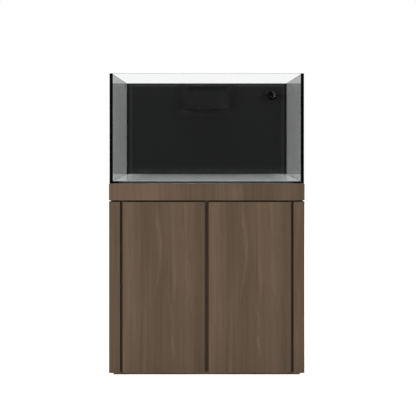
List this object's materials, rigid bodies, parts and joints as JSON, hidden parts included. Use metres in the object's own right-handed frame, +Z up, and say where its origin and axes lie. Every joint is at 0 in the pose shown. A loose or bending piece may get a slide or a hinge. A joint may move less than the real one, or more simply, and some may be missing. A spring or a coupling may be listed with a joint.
{
  "type": "aquarium on stand",
  "caption": "Rimless glass aquarium with a rear overflow and return nozzle, on a wood cabinet with handle-less doors that holds a sump.",
  "frame": {"origin": "on the floor, under the middle of the cabinet's footprint", "axes": "+X to the right as seen from the front, the doors face -Y, +Z up"},
  "size_m": [0.9, 0.6, 1.394],
  "materials": {
    "tank_glass": "polished float glass",
    "silicone": "cured silicone, satin",
    "vinyl_film": "matt black film",
    "foam_mat": "white closed-cell foam",
    "black_acrylic": "satin acrylic",
    "black_abs": "moulded, fine texture",
    "nozzle_abs": "moulded, glossy",
    "gasket_rubber": "moulded rubber",
    "grey_pvc": "extruded PVC, satin",
    "light_pvc": "moulded PVC, satin",
    "white_pvc": "moulded, glossy",
    "red_handle": "moulded, satin",
    "sump_glass": "polished float glass",
    "felt": "needled polyester felt",
    "pump_black": "moulded, satin",
    "plinth_laminate": "matt walnut laminate",
    "walnut_laminate": "matt walnut laminate, upright grain",
    "birch_ply": "raw plywood",
    "steel": "zinc-plated, satin",
    "nickel": "nickel-plated"
  },
  "bodies": {
    "stand_and_tank": {"front_glass": "tank_glass", "left_glass": "tank_glass", "right_glass": "tank_glass", "back_glass": "tank_glass", "bottom_glass": "tank_glass", "silicone_seams": "silicone", "black_background": "vinyl_film", "levelling_mat": "foam_mat", "weir_box": "black_acrylic", "weir_bulkheads": "black_abs", "overflow_box": "black_acrylic", "drain_bulkheads": "black_abs", "bulkhead_nuts": "black_abs", "bulkhead_gaskets": "gasket_rubber", "stand_pipes": "grey_pvc", "drain_pipe_upper": "grey_pvc", "drain_pipe_lower": "grey_pvc", "emergency_pipe": "grey_pvc", "pipe_clips": "black_abs", "gate_valve_body": "light_pvc", "return_riser": "grey_pvc", "return_tail": "grey_pvc", "return_bulkhead": "black_abs", "ball_valve_body": "grey_pvc", "union_nuts": "grey_pvc", "sump_floor": "sump_glass", "sump_walls": "sump_glass", "sump_baffles": "sump_glass", "sock_shelf": "black_acrylic", "pump_motor": "pump_black", "pump_volute": "pump_black", "pump_strainer": "pump_black", "plinth_board": "plinth_laminate", "base_board": "walnut_laminate", "left_side_panel": "walnut_laminate", "right_side_panel": "walnut_laminate", "corner_posts": "walnut_laminate", "face_frame": "walnut_laminate", "rear_panel": "walnut_laminate", "shadow_board": "plinth_laminate", "load_frame": "birch_ply", "deck_board": "walnut_laminate", "front_fascia": "walnut_laminate", "side_fascias": "walnut_laminate", "door_pivots": "steel", "door_magnets": "nickel"},
    "left_door": {"left_door": "walnut_laminate", "left_strikes": "nickel"},
    "right_door": {"right_door": "walnut_laminate", "right_strikes": "nickel"},
    "comb": {"weir_comb": "black_acrylic"},
    "box_lid": {"overflow_lid": "black_acrylic"},
    "nozzle_ring": {"nozzle_collar": "black_abs"},
    "nozzle_ball": {"nozzle_eyeball": "nozzle_abs"},
    "gate_wheel": {"gate_valve_wheel": "red_handle"},
    "gate": {"gate_valve_gate": "light_pvc"},
    "return_valve": {"ball_valve_lever": "red_handle", "ball_valve_ball": "white_pvc"},
    "impeller": {"pump_impeller": "white_pvc"},
    "sock": {"filter_sock": "felt"}
  },
  "joints": [
    {"name": "left_door_swing", "type": "hinge", "parent": "stand_and_tank", "child": "left_door", "pos_m": [-0.3805, -0.291, 0.408], "axis": [0, 0, -1], "range_deg": [0, 100]},
    {"name": "right_door_swing", "type": "hinge", "parent": "stand_and_tank", "child": "right_door", "pos_m": [0.3805, -0.291, 0.408], "axis": [0, 0, 1], "range_deg": [0, 100]},
    {"name": "comb_lift", "type": "slide", "parent": "stand_and_tank", "child": "comb", "axis": [0, 0, 1], "range_m": [0, 0.06]},
    {"name": "lid_lift", "type": "slide", "parent": "stand_and_tank", "child": "box_lid", "axis": [0, 0, 1], "range_m": [0, 0.05]},
    {"name": "nozzle_turn", "type": "hinge", "parent": "stand_and_tank", "child": "nozzle_ring", "pos_m": [0.36, 0.158, 1.328], "axis": [0, 1, 0], "range_deg": [-90, 90]},
    {"name": "nozzle_swing", "type": "hinge", "parent": "nozzle_ring", "child": "nozzle_ball", "pos_m": [0.36, 0.158, 1.328], "axis": [0, 0, 1], "range_deg": [0, 84]},
    {"name": "gate_wheel_turn", "type": "hinge", "parent": "stand_and_tank", "child": "gate_wheel", "pos_m": [-0.07, 0.16, 0.68], "axis": [0, 1, 0], "range_deg": [0, 1800]},
    {"name": "gate_slide", "type": "slide", "parent": "stand_and_tank", "child": "gate", "axis": [0, 1, 0], "range_m": [0, 0.031]},
    {"name": "return_valve_turn", "type": "hinge", "parent": "stand_and_tank", "child": "return_valve", "pos_m": [0.36, 0.15, 0.46], "axis": [0, -1, 0], "range_deg": [0, 90]},
    {"name": "impeller_spin", "type": "hinge", "parent": "stand_and_tank", "child": "impeller", "pos_m": [0.336, 0.15, 0.088], "axis": [0, 1, 0], "continuous": true},
    {"name": "sock_lift", "type": "slide", "parent": "stand_and_tank", "child": "sock", "axis": [0, 0, 1], "range_m": [0, 0.12]}
  ],
  "couplings": [
    {"joint": "gate_slide", "follows": "gate_wheel_turn", "m_per_rad": 0.00098}
  ]
}
